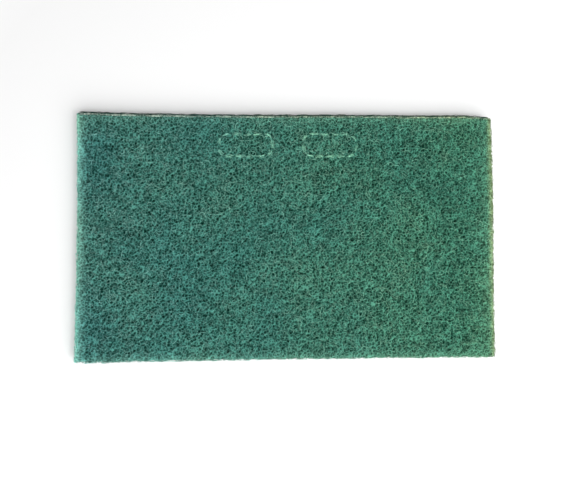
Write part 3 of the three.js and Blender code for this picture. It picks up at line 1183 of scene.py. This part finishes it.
# Name, count, seed, and the least and most depth below the face
TOP_LAYERS = (
    ("web_strands_low", 3150, 101, (1.4 * MM, 3.0 * MM)),
    ("web_strands_middle", 3150, 102, (0.8 * MM, 2.0 * MM)),
    ("web_strands_high", 3150, 103, (0.3 * MM, 1.3 * MM)),
)
UNDER_LAYER = ("web_strands_under", 2700, 104, (0.3 * MM, 2.0 * MM))
WALL_LAYER = ("web_strands_wall", 1300, 105)
ENDS_LAYER = ("web_strand_ends", 3400, 106)
# Name, count, seed, and how far inside the cut and below the face
# The crest strands carry a painted highlight along the back edge
CREST_LAYER = ("web_strands_crest", 560, 107, (1.3 * MM, 3.6 * MM), (0.1 * MM, 0.7 * MM))
# The foot strands form a dark fringe below the back edge, coloured as painted shade
FOOT_LAYER = ("web_strands_foot", 1300, 108, (-2.3 * MM, 1.2 * MM), (1.0 * MM, 8.0 * MM))


class SCRUBPAD_OT_strands(bpy.types.Operator):
    """Lay the curly strands over both faces, round the wall and along the ovals"""

    bl_idname = "scrubpad.strands"
    bl_label = "Web strands"

    def execute(self, context):
        shape = context.scene.pad_shape
        look = context.scene.web_look
        groups = web_groups(shape, look)
        resin, highlighted, foot_shade = (
            web_material(name, groups, "tone", look.dark_colour, pale, STRAND_OPENING)
            for name, pale in (
                ("Resin strand", look.pale_colour),
                ("Crest highlight strand", look.crest_highlight_colour),
                ("Foot shade strand", look.foot_shade_colour),
            )
        )
        for layer in TOP_LAYERS:
            place_piece(face_strands(*layer, shape, look), resin)
        place_piece(face_strands(*UNDER_LAYER, shape, look, upper=False), resin)
        place_piece(wall_strands(*WALL_LAYER, shape, look), resin)
        place_piece(cut_ends(*ENDS_LAYER, shape, look), resin)
        place_piece(back_strands(*CREST_LAYER, shape, look), highlighted)
        place_piece(back_strands(*FOOT_LAYER, shape, look), foot_shade)
        place_piece(oval_strands("web_strands_ovals", shape, look), resin)
        return {"FINISHED"}


FLOOR_HALF = 6.0
# The floor turns white to the eye between these distances from the pad's middle
FLOOR_FADE = (0.5, 2.0)
FLOOR_COLOUR = (0.79, 0.79, 0.79, 1.0)
WHITE = (1.0, 1.0, 1.0, 1.0)


def eye_factor(tree):
    """1 for rays from the camera and for reflected and refracted ones, and 0 for light."""
    path = tree.nodes.new("ShaderNodeLightPath")
    straight = maths(
        tree, "MAXIMUM", path.outputs["Is Camera Ray"], path.outputs["Is Glossy Ray"]
    )
    return maths(tree, "MAXIMUM", straight, path.outputs["Is Transmission Ray"])


def add_floor(stage):
    """A pale matt floor whose lit part is white to the eye and which keeps the shadow."""
    corners = np.array([[-1, -1, 0], [1, -1, 0], [1, 1, 0], [-1, 1, 0]], dtype=float)
    floor = add_mesh("floor", corners * FLOOR_HALF, np.array([[0, 1, 2, 3]]), smooth=False)
    material = bpy.data.materials.new("White paper")
    material.use_nodes = True
    tree = material.node_tree
    shader = tree.nodes["Principled BSDF"]
    feed(tree, shader, {"Base Color": FLOOR_COLOUR, "Roughness": 1.0, "Specular IOR Level": 0.0})
    away = add_node(tree, "VectorMath", {0: object_place(tree)}, operation="LENGTH")
    lift = ranged(tree, away.outputs["Value"], FLOOR_FADE, (stage.floor_lift, 1.0))
    strength = maths(tree, "MULTIPLY", eye_factor(tree), lift)
    glow = add_node(tree, "Emission", {"Strength": strength})
    both = add_node(tree, "AddShader", {0: shader.outputs[0], 1: glow.outputs[0]})
    feed(tree, tree.nodes["Material Output"], {"Surface": both.outputs[0]})
    floor.data.materials.append(material)


KEY_PLACE = Vector((0.62, -1.02, 1.68))
KEY_SIZE = 3.4
HIGH_PLACE = Vector((0.7, -0.65, 1.85))
HIGH_SIZE = 0.5


def add_lamp(name, place, size, power):
    """A round soft lamp that points at the pad."""
    data = bpy.data.lights.new(name, "AREA")
    data.shape = "DISK"
    data.size = size
    data.energy = power
    lamp = bpy.data.objects.new(name, data)
    bpy.context.collection.objects.link(lamp)
    lamp.location = place
    lamp.rotation_euler = (-place).to_track_quat("-Z", "Y").to_euler()


def add_sky(scene, stage):
    """Even white light, and a white background to the eye."""
    world = bpy.data.worlds.new("sky")
    scene.world = world
    world.use_nodes = True
    tree = world.node_tree
    light = tree.nodes["Background"]
    feed(tree, light, {"Color": WHITE, "Strength": stage.sky})
    white = add_node(tree, "Background", {"Color": WHITE, "Strength": 1.0})
    lights = {0: eye_factor(tree), 1: light.outputs[0], 2: white.outputs[0]}
    mix = add_node(tree, "MixShader", lights)
    feed(tree, tree.nodes["World Output"], {"Surface": mix.outputs[0]})


IMAGE_WIDTH = 567
SENSOR_WIDTH_MM = 36.0


def add_camera(scene, stage):
    """The camera, almost straight above the pad."""
    data = bpy.data.cameras.new("camera")
    data.sensor_fit = "HORIZONTAL"
    data.sensor_width = SENSOR_WIDTH_MM
    data.lens = stage.focal_px / IMAGE_WIDTH * SENSOR_WIDTH_MM
    camera = bpy.data.objects.new("camera", data)
    bpy.context.collection.objects.link(camera)
    turn_x, turn_y, turn_z = stage.camera_turn
    seen = (
        Matrix.Rotation(turn_x, 3, "X")
        @ Matrix.Rotation(turn_y, 3, "Y")
        @ Matrix.Rotation(turn_z, 3, "Z")
    )
    camera.matrix_world = Matrix.Translation(stage.camera_place) @ seen.transposed().to_4x4()
    scene.camera = camera


class SCRUBPAD_OT_stage(bpy.types.Operator):
    """Set the floor, the lamps, the sky and the camera"""

    bl_idname = "scrubpad.stage"
    bl_label = "Stage"

    def execute(self, context):
        stage = context.scene.stage_look
        add_floor(stage)
        add_lamp("key", KEY_PLACE, KEY_SIZE, stage.key_power)
        add_lamp("high", HIGH_PLACE, HIGH_SIZE, stage.high_power)
        add_sky(context.scene, stage)
        add_camera(context.scene, stage)
        context.scene.view_settings.view_transform = "Standard"
        return {"FINISHED"}


class SCRUBPAD_PT_panel(bpy.types.Panel):
    """Lists the steps that build the pad"""

    bl_idname = "SCRUBPAD_PT_panel"
    bl_label = "Scrub pad"
    bl_space_type = "VIEW_3D"
    bl_region_type = "UI"
    bl_category = "Scrub pad"

    def draw(self, context):
        for operator in OPERATORS:
            self.layout.operator(operator.bl_idname)
        for owner in (context.scene.pad_shape, context.scene.web_look, context.scene.stage_look):
            box = self.layout.box()
            for name in owner.__annotations__:
                box.prop(owner, name)


OPERATORS = (SCRUBPAD_OT_body, SCRUBPAD_OT_strands, SCRUBPAD_OT_stage)
CLASSES = (PadShape, WebLook, StageLook, *OPERATORS, SCRUBPAD_PT_panel)


def register():
    """Makes the classes and the scene's settings known to Blender."""
    for cls in CLASSES:
        bpy.utils.register_class(cls)
    bpy.types.Scene.pad_shape = bpy.props.PointerProperty(type=PadShape)
    bpy.types.Scene.web_look = bpy.props.PointerProperty(type=WebLook)
    bpy.types.Scene.stage_look = bpy.props.PointerProperty(type=StageLook)


def unregister():
    """Takes them away again."""
    del bpy.types.Scene.stage_look
    del bpy.types.Scene.web_look
    del bpy.types.Scene.pad_shape
    for cls in reversed(CLASSES):
        bpy.utils.unregister_class(cls)


def main():
    """Builds every piece in order."""
    register()
    bpy.ops.scrubpad.stage()
    bpy.ops.scrubpad.body()
    bpy.ops.scrubpad.strands()


if __name__ == "__main__":
    main()
